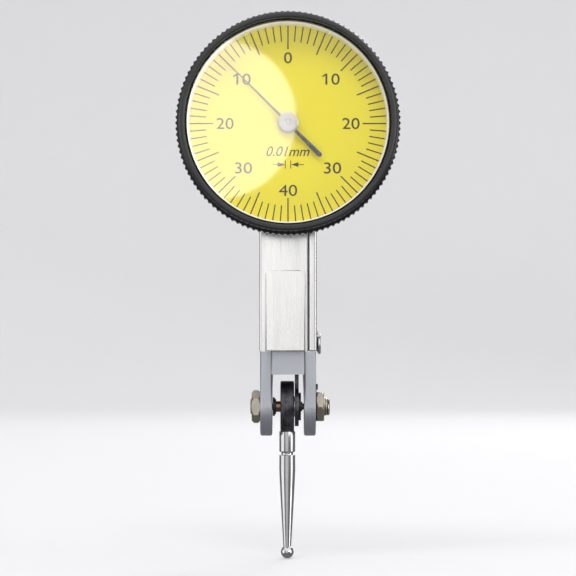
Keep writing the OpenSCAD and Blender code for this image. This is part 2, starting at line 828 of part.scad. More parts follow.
module center_hole() rotate_extrude() polygon([
    [0, -deep], [cone_r + 0.02, -deep], [cone_tip_r + running, cone_l], [0, cone_l + 0.1]
]);

module lever_axle() color(brass) at_pivot() difference() {
    union() {
        along_x(collar_left) cylinder(r = axle_r, h = washer_right - collar_left);
        along_x(washer_right - deep) cylinder(r = 0.75, h = axle_right - washer_right + deep);
    }
    along_x(collar_left) center_hole();
    along_x(axle_right) rotate([180, 0, 0]) center_hole();
}

module axle_collar() color(black_steel) at_pivot() difference() {
    union() {
        along_x(collar_left) cylinder(r = 1.46, h = 0.33);
        along_x(collar_left) cylinder(r = 1.2, h = 0.51);
    }
    along_x(collar_left - deep) cylinder(r = axle_r, h = 1);
}

module lever_washer() color(black_steel) at_pivot() along_x(plate_left + plate_t)
    ring(2.15, axle_r, washer_right - plate_left - plate_t);

module friction_washer() color(bright_steel) at_pivot() along_x(holder_right + 0.02)
    ring(1.6, axle_r, plate_left - holder_right - 0.02);

module stylus_holder() {
    width = holder_right - holder_left;
    rim = 0.15;
    flat_at = 3.8;
    color(black_steel) at_pivot() difference() {
        along_x(holder_left) bevelled_disc(holder_r, width, rim);
        along_x(holder_left - deep) cylinder(r = axle_r + running, h = width + 2 * deep);
        translate([holder_left - 1, -holder_r, -holder_r - 1])
            cube([width + 2, 2 * holder_r, holder_r + 1 - flat_at]);
        translate([(holder_left + holder_right) / 2, 0, -holder_r - 1])
            cylinder(r = shank_r, h = holder_r + 1 - shank_top);
    }
}

shank_r = 0.75;
shank_top = 1.5;

module stylus() {
    shoulder = 3.8;
    groove_top = 6.95;
    groove_bottom = 7.6;
    groove_r = 0.92;
    taper_start = 9.6;
    taper_end = stylus_reach - ball_r * 0.75;
    taper_power = 1.15;
    steps = 8;
    color(bright_steel) at_pivot() translate([(holder_left + holder_right) / 2, 0, 0]) difference() {
        rotate_extrude() polygon([
            [0, -shank_top], [shank_r, -shank_top], [shank_r, -shoulder],
            [stylus_r - 0.1, -shoulder], [stylus_r, -shoulder - 0.1],
            [stylus_r, -groove_top + 0.1], [groove_r, -groove_top - 0.1],
            [groove_r, -groove_bottom + 0.1], [stylus_r, -groove_bottom - 0.1],
            for (i = [0 : steps])
                [stylus_r - (stylus_r - stylus_tip_r) * pow(i / steps, taper_power),
                    -taper_start - (taper_end - taper_start) * i / steps],
            [0, -taper_end]
        ]);
        translate([0, 0, -stylus_reach]) sphere(r = ball_r);
    }
}

module stylus_ball() color(bright_steel) at_pivot()
    translate([(holder_left + holder_right) / 2, 0, -stylus_reach]) sphere(r = ball_r);

// ---------------------------------------------------------------- return spring

spring_post_r = 0.5;

// The blade leaves the post and curves over to rest against the drive pin
module return_spring() {
    steps = 8;
    rise = pin_rise + 0.5 - spring_post_rise;
    tip_y = pin_r + spring_t / 2 + running;
    function place(i, side) = [
        tip_y + (spring_post_y - tip_y) * pow(1 - i / steps, 1.6) + side * spring_t / 2,
        spring_post_rise + rise * i / steps
    ];
    color(bright_steel) at_pivot() across(spring_x, spring_w) polygon([
        for (i = [0 : steps]) place(i, -1),
        for (i = [steps : -1 : 0]) place(i, 1)
    ]);
}

module spring_post() color(brass) at_pivot() difference() {
    translate([0, spring_post_y, spring_post_rise]) along_x(channel_left - side_spigot_l)
        cylinder(r = spring_post_r, h = spring_x + spring_w + 0.2 - channel_left + side_spigot_l);
    translate([spring_x - 0.05, spring_post_y - 1, spring_post_rise - deep])
        cube([spring_w + 1, 2, 1]);
}

// ---------------------------------------------------------------- pivot screws and nuts

nut_corner_r = 2.55;
left_nut_t = 1.33;
right_nut_t = 1.15;
left_proud = 0.2;
right_proud = 0.86;
tab_t = 0.15;

// A pivot screw along Z: its cone points up, and its outer end stands proud of the nut
module pivot_screw(r, body_l, neck_l, thread_l) {
    cone_end = body_l + neck_l + cone_l;
    pitch = 0.35;
    cut = 0.12;
    slot_w = 0.35;
    slot_d = 0.3;
    grooves = floor((thread_l - 0.2) / pitch);
    difference() {
        rotate_extrude() polygon([
            [0, 0], [r - 0.2, 0], [r, 0.2],
            for (i = [0 : 1 : grooves - 1])
                for (corner = [[r, 0.2 + pitch * i + 0.02], [r - cut, 0.2 + pitch * (i + 0.5)],
                    [r, 0.2 + pitch * (i + 1) - 0.02]]) corner,
            [r, body_l], [cone_r, body_l], [cone_r, body_l + neck_l],
            [cone_tip_r, cone_end], [0, cone_end]
        ]);
        translate([-r - 1, -slot_w / 2, -1]) cube([2 * r + 2, slot_w, 1 + slot_d]);
    }
}

module locknut(bore, t) difference() {
    bevel = 0.35;
    intersection() {
        cylinder(r = nut_corner_r, h = t, $fn = 6);
        bevelled_disc(nut_corner_r, t, bevel);
    }
    translate([0, 0, -deep]) cylinder(r = bore, h = t + 2 * deep);
}

left_end = clevis_w / 2 + left_nut_t + left_proud;
right_end = clevis_w / 2 + tab_t + right_nut_t + right_proud;
cone_gap = 0.03;

module pivot_screw_left() color(warm_nickel) at_pivot() along_x(-left_end) rotate([0, 0, 20])
    pivot_screw(left_thread_r, left_end + gap_left, collar_left - gap_left - cone_gap, left_proud);

module pivot_screw_right() color(warm_nickel) at_pivot() along_x(right_end) rotate([180, 0, 65])
    pivot_screw(right_thread_r, right_end - gap_right, gap_right - axle_right - cone_gap, right_proud);

module locknut_left() color(warm_nickel) at_pivot() along_x(-clevis_w / 2 - left_nut_t)
    locknut(left_thread_r, left_nut_t);

module locknut_right() color(warm_nickel) at_pivot() along_x(clevis_w / 2 + tab_t)
    rotate([0, 0, 30]) locknut(right_thread_r, right_nut_t);

module tab_washer() {
    washer_r = 2.3;
    tab_w = 1;
    tab_low = 2.6;
    tab_high = 3.5;
    color(black_steel) at_pivot() difference() {
        union() {
            along_x(clevis_w / 2) cylinder(r = washer_r, h = tab_t);
            translate([clevis_w / 2, -tab_w / 2, 0]) cube([tab_t, tab_w, tab_high]);
            translate([clevis_w / 2, -tab_w / 2, tab_low]) cube([0.35, tab_w, tab_high - tab_low]);
        }
        along_x(0) cylinder(r = right_thread_r, h = body_w);
    }
}

// ---------------------------------------------------------------- the pieces

frame();
side_cover();
cover_screws();
collar_screw();
dial_case();
case_screws();
bezel_spring_ring();
bezel();
crystal();
crystal_seal();
dial_ring();
dial_plate();
hand();
hand_hub();
hand_bush();
center_arbor();
center_pinion();
hairspring_collet();
hairspring();
hairspring_stud();
upper_bridge();
bridge_pillars();
bridge_screws();
lower_bridge();
lower_bridge_screw();
center_jewels();
crown_gear();
crown_arbor();
crown_pinion();
crown_jewels();
sector_lever();
sector_arbor();
sector_jewels();
side_bridge();
side_bridge_pillars();
side_bridge_screws();
lever_plate();
drive_pin();
lever_axle();
axle_collar();
lever_washer();
friction_washer();
stylus_holder();
stylus();
stylus_ball();
return_spring();
spring_post();
pivot_screw_left();
pivot_screw_right();
locknut_left();
locknut_right();
tab_washer();
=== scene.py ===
import json
import math

import bmesh
import bpy
from mathutils import Matrix, Vector


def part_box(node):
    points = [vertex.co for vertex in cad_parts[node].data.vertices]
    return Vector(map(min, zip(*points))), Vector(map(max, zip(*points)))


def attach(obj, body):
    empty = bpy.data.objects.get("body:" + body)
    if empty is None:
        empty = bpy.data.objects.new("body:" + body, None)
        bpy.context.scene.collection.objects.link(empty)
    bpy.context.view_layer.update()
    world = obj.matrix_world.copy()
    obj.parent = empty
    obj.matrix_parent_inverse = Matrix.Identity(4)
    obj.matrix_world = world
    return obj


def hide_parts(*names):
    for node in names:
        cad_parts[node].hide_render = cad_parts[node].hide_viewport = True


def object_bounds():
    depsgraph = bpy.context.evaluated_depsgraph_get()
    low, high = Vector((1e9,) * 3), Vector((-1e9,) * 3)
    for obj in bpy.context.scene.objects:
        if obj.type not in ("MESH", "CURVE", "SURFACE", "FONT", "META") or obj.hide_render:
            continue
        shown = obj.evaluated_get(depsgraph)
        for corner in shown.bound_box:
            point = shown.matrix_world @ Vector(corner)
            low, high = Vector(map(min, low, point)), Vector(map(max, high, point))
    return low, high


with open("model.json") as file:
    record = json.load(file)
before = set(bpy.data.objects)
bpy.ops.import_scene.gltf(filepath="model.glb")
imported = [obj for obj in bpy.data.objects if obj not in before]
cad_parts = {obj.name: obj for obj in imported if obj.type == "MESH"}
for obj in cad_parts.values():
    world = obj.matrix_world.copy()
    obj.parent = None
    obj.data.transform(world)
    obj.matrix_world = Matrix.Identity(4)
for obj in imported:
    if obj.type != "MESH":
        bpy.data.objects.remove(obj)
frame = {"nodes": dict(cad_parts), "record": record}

# A lever-type dial test indicator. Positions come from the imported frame's boxes, in metres, and what
# the frame doesn't hold, such as printing and fine edges, is given in millimetres.
# "Depth" is measured along the dial's axis from its printed face, positive towards the reader.

MM = 0.001
CAD_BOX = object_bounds()
NODE = frame["nodes"]


# ---------------------------------------------------------------- places taken from the frame

def centre_of(node):
    low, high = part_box(node)
    return (low + high) / 2


def radius_of(node):
    low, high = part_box(node)
    return (high.x - low.x) / 2


DIAL_LOW, DIAL_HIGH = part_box("dial_plate")
DIAL = Vector((centre_of("dial_plate").x, DIAL_LOW.y, centre_of("dial_plate").z))
PIVOT = centre_of("lever_axle")
STYLUS_X = centre_of("stylus_ball").x


def depth_of(y):
    """Depth of a place along Y, in front of the dial's printed face."""
    return DIAL.y - y


def on_dial(x, up, depth):
    """A point given across the dial, up the dial and in front of it."""
    return Vector((DIAL.x + x, DIAL.y - depth, DIAL.z + up))


# ---------------------------------------------------------------- mesh tools

def new_object(name, mesh):
    thing = bpy.data.objects.new(name, mesh)
    bpy.context.scene.collection.objects.link(thing)
    return thing


def evaluated_mesh(thing):
    """The object's mesh as its modifiers, or its text, leave it."""
    graph = bpy.context.evaluated_depsgraph_get()
    return bpy.data.meshes.new_from_object(thing.evaluated_get(graph))


def shade(mesh, sharp_deg=30):
    """Smooth shading that keeps edges over sharp_deg crisp."""
    mesh.polygons.foreach_set("use_smooth", [True] * len(mesh.polygons))
    mesh.set_sharp_from_angle(angle=math.radians(sharp_deg))


def finish_bmesh(name, bm, sharp_deg=30):
    bmesh.ops.recalc_face_normals(bm, faces=bm.faces)
    mesh = bpy.data.meshes.new(name)
    bm.to_mesh(mesh)
    bm.free()
    shade(mesh, sharp_deg)
    return new_object(name, mesh)


def lathe(name, profile, place, count=192, radius_at=None, sharp_deg=30):
    """Turns a closed profile of (radius, height) points. place(x, y, height) gives the point in the frame,
    and radius_at(radius, angle) may cut flutes into it."""
    bm = bmesh.new()
    rings = []
    for radius, height in profile:
        if radius <= 0:
            rings.append([bm.verts.new(place(0, 0, height))])
            continue
        ring = []
        for i in range(count):
            angle = 2 * math.pi * i / count
            r = radius_at(radius, angle) if radius_at else radius
            ring.append(bm.verts.new(place(r * math.cos(angle), r * math.sin(angle), height)))
        rings.append(ring)
    for a, b in zip(rings, rings[1:] + rings[:1]):
        if len(a) == 1 and len(b) == 1:
            continue
        for i in range(count):
            j = (i + 1) % count
            corners = [a[i % len(a)], a[j % len(a)], b[j % len(b)], b[i % len(b)]]
            bm.faces.new(list(dict.fromkeys(corners)))
    return finish_bmesh(name, bm, sharp_deg)


def rounded_profile(points, radius, steps=4):
    """Rounds each corner of a closed profile given as (r, h) or (r, h, corner_radius)."""
    result = []
    count = len(points)
    for k, point in enumerate(points):
        here = Vector(point[:2])
        limit = point[2] if len(point) > 2 else radius
        before = Vector(points[k - 1][:2]) - here
        after = Vector(points[(k + 1) % count][:2]) - here
        cut = min(limit, before.length * 0.45, after.length * 0.45)
        if cut <= 0 or here.x <= 0:
            result.append(tuple(here))
            continue
        start, end = here + before.normalized() * cut, here + after.normalized() * cut
        for s in range(steps + 1):
            t = s / steps
            result.append(tuple(start * (1 - t) ** 2 + here * (2 * t * (1 - t)) + end * t ** 2))
    return result


HARD_EDGE = math.radians(32)


def rounded_copy(node, width, shortest):
    """A copy of a CAD node with its hard edges rounded, or with only those over a shortest length."""
    bm = bmesh.new()
    bm.from_mesh(NODE[node].data)
    bmesh.ops.remove_doubles(bm, verts=bm.verts, dist=1e-7)
    bmesh.ops.dissolve_limit(bm, angle_limit=math.radians(0.5), verts=bm.verts, edges=bm.edges)
    weight = bm.edges.layers.float.new("bevel_weight_edge")
    for edge in bm.edges:
        hard = len(edge.link_faces) == 2 and edge.calc_face_angle() > HARD_EDGE
        edge[weight] = float(hard and edge.calc_length() >= shortest)
    mesh = bpy.data.meshes.new(node + "_rounded")
    bm.to_mesh(mesh)
    bm.free()
    thing = new_object(mesh.name, mesh)
    bevel = thing.modifiers.new("edges", "BEVEL")
    bevel.width = width
    bevel.segments = 3
    bevel.limit_method = "WEIGHT"
    bevel.use_clamp_overlap = shortest == 0
    bevel.miter_outer = "MITER_ARC"
    shade(mesh, 60)
    flat = thing.modifiers.new("flat_faces", "WEIGHTED_NORMAL")
    flat.weight = 100
    flat.keep_sharp = True
    made = evaluated_mesh(thing)
    thing.modifiers.clear()
    thing.data = made
    made.materials.clear()
    return thing


def prism(bm, outline, bottom, top):
    """Adds a closed prism to a bmesh: outline is (x, up) across the dial, between two depths."""
    low = [bm.verts.new(on_dial(x, up, bottom)) for x, up in outline]
    high = [bm.verts.new(on_dial(x, up, top)) for x, up in outline]
    bm.faces.new(low[::-1])
    bm.faces.new(high)
    for i in range(len(outline)):
        j = (i + 1) % len(outline)
        bm.faces.new([low[i], low[j], high[j], high[i]])


def wear(thing, body, slot, material, *nodes):
    """Rides a piece on its body, gives it its material and lets it stand for CAD nodes."""
    thing.data.materials.clear()
    thing.data.materials.append(material)
    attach(thing, body)
    if nodes:
        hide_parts(*nodes)
    return thing


# ---------------------------------------------------------------- material tools

class Look:
    """A material under construction: a principled shader and whatever feeds it."""

    def __init__(self, name, **values):
        self.material = bpy.data.materials.new(name)
        self.material.use_nodes = True
        self.tree = self.material.node_tree
        self.shader = self.tree.nodes["Principled BSDF"]
        self.set(self.shader, values)

    def feed(self, socket, value):
        """Links a socket to another node's output, or sets it to a plain value."""
        if isinstance(value, bpy.types.NodeSocket):
            self.tree.links.new(value, socket)
        else:
            socket.default_value = value

    def set(self, node, values):
        for key, value in values.items():
            self.feed(node.inputs[key.replace("_", " ")], value)

    def add(self, kind, settings=None, **values):
        node = self.tree.nodes.new("ShaderNode" + kind)
        for key, value in (settings or {}).items():
            setattr(node, key, value)
        self.set(node, values)
        return node

    def math(self, operation, a, b=0.0, c=0.0):
        node = self.add("Math", {"operation": operation})
        for socket, value in zip(node.inputs, (a, b, c)):
            self.feed(socket, value)
        return node.outputs[0]

    def place(self):
        return self.add("TexCoord").outputs["Object"]

    def axes(self):
        return self.add("SeparateXYZ", Vector=self.place()).outputs

    def noise(self, scale, detail, roughness, stretch=(1, 1, 1)):
        mapping = self.add("Mapping", Vector=self.place(), Scale=stretch)
        node = self.add("TexNoise", Vector=mapping.outputs[0], Scale=scale, Detail=detail,
                        Roughness=roughness)
        return node.outputs["Fac"]

    def spread(self, value, low, high, from_low=0.0, from_high=1.0):
        node = self.add("MapRange", Value=value)
        node.inputs["From Min"].default_value = from_low
        node.inputs["From Max"].default_value = from_high
        node.inputs["To Min"].default_value = low
        node.inputs["To Max"].default_value = high
        return node.outputs[0]

    def mix(self, fac, a, b):
        node = self.add("Mix", {"data_type": "RGBA"})
        for socket, value in zip((node.inputs[0], node.inputs[6], node.inputs[7]), (fac, a, b)):
            self.feed(socket, value)
        return node.outputs[2]

    def radius(self, centre, axis):
        """Distance from an axis through centre, along X or Y."""
        x, y, z = self.axes()
        across, up = (x, z) if axis == "Y" else (y, z)
        start = (centre.x, centre.z) if axis == "Y" else (centre.y, centre.z)
        a = self.math("SUBTRACT", across, start[0])
        b = self.math("SUBTRACT", up, start[1])
        return self.math("SQRT", self.math("ADD", self.math("MULTIPLY", a, a), self.math("MULTIPLY", b, b)))

    def turned(self, centre, axis, pitch=0.00012):
        """Fine rings left by a lathe on faces and on rims, as a value round 0.5."""
        along = self.axes()[1 if axis == "Y" else 0]
        rings = self.add("CombineXYZ", X=self.math("DIVIDE", self.radius(centre, axis), pitch),
                         Y=self.math("DIVIDE", along, pitch))
        node = self.add("TexNoise", Vector=rings.outputs[0], Scale=1.0, Detail=3.0, Roughness=0.65)
        return node.outputs["Fac"]

    def bump(self, height, distance, strength):
        return self.add("Bump", Height=height, Distance=distance, Strength=strength).outputs[0]

    def done(self, **values):
        self.set(self.shader, values)
        return self.material


def rgb(r, g, b):
    """A linear colour from display values between 0 and 255."""
    def linear(v):
        v /= 255
        return v / 12.92 if v <= 0.04045 else ((v + 0.055) / 1.055) ** 2.4
    return (linear(r), linear(g), linear(b), 1.0)


# ---------------------------------------------------------------- materials

def satin_chrome(name, blasted_below=None):
    """Chrome brushed along the body. Below a given height it is bead blasted instead."""
    look = Look(name, Metallic=1.0)
    lines = look.noise(9000, 5.0, 0.6, (1, 1, 0.02))
    broad = look.noise(700, 3.0, 0.5, (1, 1, 0.12))
    cloud = look.noise(160, 3.0, 0.55)
    rough = look.math("ADD", look.spread(lines, 0.20, 0.34), look.spread(broad, -0.05, 0.05))
    shine = look.mix(look.spread(cloud, 0.2, 0.8), rgb(238, 237, 236), rgb(224, 223, 223))
    brushed = look.bump(lines, 0.000006, 0.5)
    if blasted_below is None:
        return look.done(Base_Color=shine, Roughness=rough, Normal=brushed)
    grains = look.noise(14000, 2.0, 0.6)
    blasted = look.bump(grains, 0.00001, 0.6)
    height = look.axes()[2]
    mask = look.spread(height, 1.0, 0.0, blasted_below - 0.00003, blasted_below + 0.00003)
    colour = look.mix(mask, shine, look.mix(grains, rgb(188, 190, 199), rgb(218, 220, 228)))
    roughness = look.math("ADD", look.math("MULTIPLY", look.math("SUBTRACT", 0.48, rough), mask), rough)
    normal = look.add("Mix", {"data_type": "VECTOR"})
    look.feed(normal.inputs[0], mask)
    look.feed(normal.inputs[4], brushed)
    look.feed(normal.inputs[5], blasted)
    return look.done(Base_Color=colour, Roughness=roughness, Normal=normal.outputs[1])


def polished_steel(name, tint=(226, 226, 230), rough=0.09, centre=None, axis="Y"):
    """Polished plated steel with hairline marks, turned when a centre is given."""
    look = Look(name, Metallic=1.0)
    cloud = look.noise(500, 4.0, 0.6)
    marks = look.turned(centre, axis) if centre else look.noise(4000, 4.0, 0.6, (1, 1, 0.08))
    dark = tuple(v * 0.86 for v in tint)
    colour = look.mix(cloud, rgb(*tint), rgb(*dark))
    roughness = look.math("ADD", look.spread(marks, rough * 0.6, rough * 1.6), look.spread(cloud, 0, 0.04))
    return look.done(Base_Color=colour, Roughness=roughness, Normal=look.bump(marks, 0.000004, 0.35))


def threaded_nickel(name, pitch=0.00035, depth=0.00006):
    """Plated steel with a screw thread about the pivot's axis, with painted shade darkening the thread's
    valleys.
    """
    look = Look(name, Metallic=1.0)
    x, y, z = look.axes()
    angle = look.math("ARCTAN2", look.math("SUBTRACT", z, PIVOT.z), look.math("SUBTRACT", y, PIVOT.y))
    turns = look.math("ADD", look.math("DIVIDE", x, pitch), look.math("DIVIDE", angle, 2 * math.pi))
    groove = look.math("PINGPONG", turns, 0.5)
    cloud = look.noise(900, 4.0, 0.6)
    # Painted shade: the thread's valleys are coloured darker than its crests.
    base = look.mix(look.spread(groove, 0.0, 1.0, 0.0, 0.4), rgb(112, 104, 92), rgb(212, 203, 188))
    return look.done(Base_Color=base, Roughness=look.spread(cloud, 0.14, 0.26),
                     Normal=look.bump(groove, depth, 1.0))


def black_steel(name, centre=None, axis="X", colour=(38, 38, 41)):
    """Blackened steel: brushed by turning, with lighter spots along the marks that are partly rubbed wear
    and partly painted sheen.
    """
    look = Look(name, Metallic=0.85)
    marks = look.turned(centre, axis) if centre else look.noise(5000, 4.0, 0.6, (1, 1, 0.1))
    rub_and_sheen = look.noise(900, 5.0, 0.65)
    # Lighter spots: partly rubbed wear, partly painted sheen standing in for brushed streak highlights.
    mask = look.spread(look.math("MULTIPLY", rub_and_sheen, marks), 0.0, 1.0, 0.16, 0.42)
    lighter = tuple(v * 2.9 for v in colour)
    base = look.mix(mask, rgb(*colour), rgb(*lighter))
    return look.done(Base_Color=base, Roughness=look.spread(marks, 0.24, 0.46),
                     Normal=look.bump(marks, 0.000005, 0.45))


def bezel_enamel(name):
    """Gloss black anodising; the flat front of the ring is turned satin."""
    look = Look(name, Metallic=0.35, Coat_Weight=0.35, Coat_Roughness=0.12)
    low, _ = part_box("bezel")
    marks = look.turned(DIAL, "Y", 0.00009)
    dust = look.noise(2600, 4.0, 0.6)
    depth = look.axes()[1]
    face = look.spread(depth, 1.0, 0.0, low.y + 0.00012, low.y + 0.0003)
    base = look.mix(face, rgb(13, 13, 14), look.mix(marks, rgb(28, 28, 30), rgb(52, 52, 54)))
    gloss = look.spread(dust, 0.16, 0.26)
    satin = look.spread(marks, 0.30, 0.46)
    rough = look.math("ADD", look.math("MULTIPLY", look.math("SUBTRACT", satin, gloss), face), gloss)
    return look.done(Base_Color=base, Roughness=rough, Normal=look.bump(marks, 0.000004, 0.4))


def dial_paint(name):
    """Screen-printed yellow with the faint tooth of the paint."""
    look = Look(name, Specular_IOR_Level=0.35)
    broad = look.noise(90, 3.0, 0.5)
    tooth = look.noise(9000, 3.0, 0.6)
    base = look.mix(look.spread(broad, 0.2, 0.8), rgb(240, 222, 26), rgb(235, 216, 34))
    base = look.mix(look.spread(tooth, 0.0, 0.12), base, rgb(206, 188, 28))
    return look.done(Base_Color=base, Roughness=look.spread(tooth, 0.42, 0.6),
                     Normal=look.bump(tooth, 0.000004, 0.3))


def ink(name, colour=(44, 38, 26)):
    look = Look(name, Specular_IOR_Level=0.3)
    spots = look.noise(7000, 3.0, 0.6)
    lighter = tuple(v * 1.35 for v in colour)
    return look.done(Base_Color=look.mix(look.spread(spots, 0, 0.6), rgb(*colour), rgb(*lighter)),
                     Roughness=look.spread(spots, 0.45, 0.65))


def ivory_gloss(name):
    look = Look(name, Coat_Weight=0.3, Coat_Roughness=0.1)
    cloud = look.noise(300, 3.0, 0.5)
    base = look.mix(cloud, rgb(255, 253, 244), rgb(250, 246, 232))
    return look.done(Base_Color=base, Roughness=look.spread(cloud, 0.22, 0.34))


def black_rubber(name):
    look = Look(name, Specular_IOR_Level=0.3)
    cloud = look.noise(1500, 4.0, 0.6)
    return look.done(Base_Color=look.mix(cloud, rgb(18, 18, 19), rgb(30, 30, 31)),
                     Roughness=look.spread(cloud, 0.5, 0.75), Normal=look.bump(cloud, 0.00001, 0.3))


HEAD_ON_MIRROR = 0.08


def crystal_glass(name):
    """Clear window: what is behind shows through, and only the domed front mirrors.

    It mirrors more at a slant, as glass does, but HEAD_ON_MIRROR is more than glass has head on."""
    look = Look(name)
    look.tree.nodes.remove(look.shader)
    smear = look.noise(120, 4.0, 0.6)
    gloss = look.add("BsdfGlossy", Color=(1, 1, 1, 1), Roughness=look.spread(smear, 0.03, 0.055))
    clear = look.add("BsdfTransparent", Color=(0.985, 0.992, 0.988, 1))
    # The same share from both sides, so that light which comes in at a slant also gets out again.
    facing = look.add("LayerWeight", Blend=0.5).outputs["Facing"]
    mirror = look.math("MULTIPLY_ADD", look.math("POWER", facing, 5.0), 1 - HEAD_ON_MIRROR, HEAD_ON_MIRROR)
    _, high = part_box("crystal")
    skin = 0.05 * MM
    front = look.spread(look.axes()[1], 1.0, 0.0, high.y - 2 * skin, high.y - skin)
    both = look.add("MixShader", Fac=look.math("MULTIPLY", mirror, front))
    look.feed(both.inputs[1], clear.outputs[0])
    look.feed(both.inputs[2], gloss.outputs[0])
    look.feed(look.tree.nodes["Material Output"].inputs["Surface"], both.outputs[0])
    return look.material


def brass(name, centre=None, axis="Y", tint=(214, 178, 104)):
    look = Look(name, Metallic=1.0)
    dark = tuple(v * 0.82 for v in tint)
    cloud = look.noise(600, 5.0, 0.6)
    marks = look.turned(centre, axis) if centre else look.noise(5000, 4.0, 0.6, (1, 1, 0.1))
    base = look.mix(cloud, rgb(*tint), rgb(*dark))
    return look.done(Base_Color=base, Roughness=look.spread(marks, 0.16, 0.34),
                     Normal=look.bump(marks, 0.000004, 0.35))


def ruby(name):
    look = Look(name, Coat_Weight=0.5, Coat_Roughness=0.04, Subsurface_Weight=0.15,
                Subsurface_Scale=0.0005)
    cloud = look.noise(2500, 3.0, 0.5)
    return look.done(Base_Color=look.mix(cloud, rgb(196, 34, 70), rgb(150, 18, 48)),
                     Roughness=look.spread(cloud, 0.06, 0.14))


BODY_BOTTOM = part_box("side_cover")[0].z
LOOKS = {
    "frame": satin_chrome("satin_frame", blasted_below=BODY_BOTTOM - 0.0001),
    "cover": satin_chrome("satin_cover"),
    "case": polished_steel("turned_case", rough=0.2, centre=DIAL, axis="Y"),
    "bezel": bezel_enamel("black_bezel"),
    "dial": dial_paint("dial_yellow"),
    "ink": ink("dial_ink"),
    "ivory": ivory_gloss("ivory_ring"),
    "seal": black_rubber("black_seal"),
    "crystal": crystal_glass("crystal_glass"),
    "hand": black_steel("hand_grey", colour=(46, 46, 50)),
    "hub": polished_steel("turned_hub", tint=(214, 204, 199), rough=0.26, centre=DIAL, axis="Y"),
    "stylus": polished_steel("polished_stylus", tint=(224, 222, 224), rough=0.08),
    "steel": polished_steel("polished_steel", rough=0.14),
    "nickel": polished_steel("warm_nickel", tint=(196, 188, 174), rough=0.24, centre=PIVOT, axis="X"),
    "thread": threaded_nickel("threaded_nickel"),
    "holder": black_steel("turned_black", centre=PIVOT, axis="X"),
    "brass": brass("turned_brass"),
    "bronze": brass("turned_bronze", centre=PIVOT, axis="X", tint=(150, 122, 98)),
    "ruby": ruby("ruby_jewel"),
}


# ---------------------------------------------------------------- bezel, crystal and dial

FLUTES = 120
FLUTE_DEPTH = 0.25 * MM
BEZEL_R = radius_of("bezel")
RIDGE_SHARE = 0.1
POINTS_PER_FLUTE = 8


def fluted(radius, angle):
    """Radius of the knurl at an angle: a cutter has left a hollow between every two ridges."""
    share = angle * FLUTES / (2 * math.pi)
    across = abs(share - math.floor(share) - 0.5) * 2
    hollow = max(0.0, 1 - (across / (1 - RIDGE_SHARE)) ** 2)
    return min(radius, BEZEL_R - FLUTE_DEPTH * hollow)


def make_bezel():
    low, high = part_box("bezel")
    outer = BEZEL_R
    opening = radius_of("crystal")
    bore = radius_of("dial_case") + 0.1 * MM
    front, back = depth_of(low.y), depth_of(high.y)
    neck = outer - 0.6 * MM
    knurl_back, knurl_front = back + 0.2 * MM, back + 3.0 * MM
    shelf_inner = outer - 2.4 * MM
    dial_back = depth_of(DIAL_HIGH.y)
    shelf_back = dial_back - 0.3 * MM
    fine, soft = 0.04 * MM, 0.12 * MM
    profile = rounded_profile([
        (bore, back, fine), (neck, back, fine), (neck, knurl_back - 0.02 * MM, fine),
        (outer - 0.3 * MM, knurl_back, fine), (outer, knurl_back + 0.3 * MM, soft),
        (outer, knurl_front - 0.35 * MM, soft), (outer - 0.35 * MM, knurl_front, fine),
        (neck, knurl_front + 0.05 * MM, soft), (neck, front - 0.3 * MM, soft),
        (neck - 0.3 * MM, front, soft), (opening + 0.22 * MM, front, fine),
        (opening + 0.12 * MM, front - 0.12 * MM, fine), (opening, front - 0.14 * MM, fine),
        (opening, dial_back, fine), (shelf_inner, dial_back, fine), (shelf_inner, shelf_back, fine),
        (bore, shelf_back, fine),
    ], fine)
    # A whole number of points to a flute gives every ridge the same shape.
    ring = lathe("bezel_ring", profile, on_dial, FLUTES * POINTS_PER_FLUTE, fluted,
                 sharp_deg=40)
    wear(ring, "bezel_set", "black_enamel", LOOKS["bezel"], "bezel")


def make_crystal():
    low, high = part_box("crystal")
    edge = radius_of("crystal")
    front, back = depth_of(low.y), depth_of(high.y)
    dome = 0.45 * MM
    bevel = 0.3 * MM
    sphere = (edge ** 2 + dome ** 2) / 2 / dome
    steps = 24

    def rise(r):
        return front - sphere + math.sqrt(sphere ** 2 - r ** 2)

    inner = edge - bevel
    cap = [(inner * i / steps, rise(inner * i / steps)) for i in range(steps + 1)]
    profile = cap + [(edge, front - dome - bevel), (edge, back), (0, back)]
    lens = lathe("crystal_lens", profile, on_dial, sharp_deg=20)
    return wear(lens, "bezel_set", "crystal", LOOKS["crystal"], "crystal")


def make_dial_ring():
    low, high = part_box("dial_ring")
    outer = radius_of("dial_ring")
    front, back = depth_of(low.y), depth_of(high.y)
    profile = rounded_profile([
        (outer, back), (outer, front), (outer - 0.52 * MM, front - 0.2 * MM), (outer - 0.65 * MM, back),
    ], 0.06 * MM)
    ring = lathe("ivory_ring", profile, on_dial, count=256)
    wear(ring, "bezel_set", "ivory", LOOKS["ivory"], "dial_ring")


def make_dial_face():
    back = depth_of(DIAL_HIGH.y)
    hole = 1.1 * MM
    edge = radius_of("dial_plate")
    profile = rounded_profile([(hole, back), (hole, 0), (edge, 0), (edge, back)], 0.03 * MM)
    face = lathe("dial_face", profile, on_dial, count=256)
    wear(face, "bezel_set", "dial_yellow", LOOKS["dial"], "dial_plate")


INK_T = 0.02 * MM
TICK_OUT = 14.8 * MM
TICK_IN = 12.4 * MM
LONG_TICK_IN = 11.25 * MM
TICK_HALF_W = 0.085 * MM
LONG_TICK_HALF_W = 0.095 * MM
DIVISIONS = 80
LONG_EVERY = 5


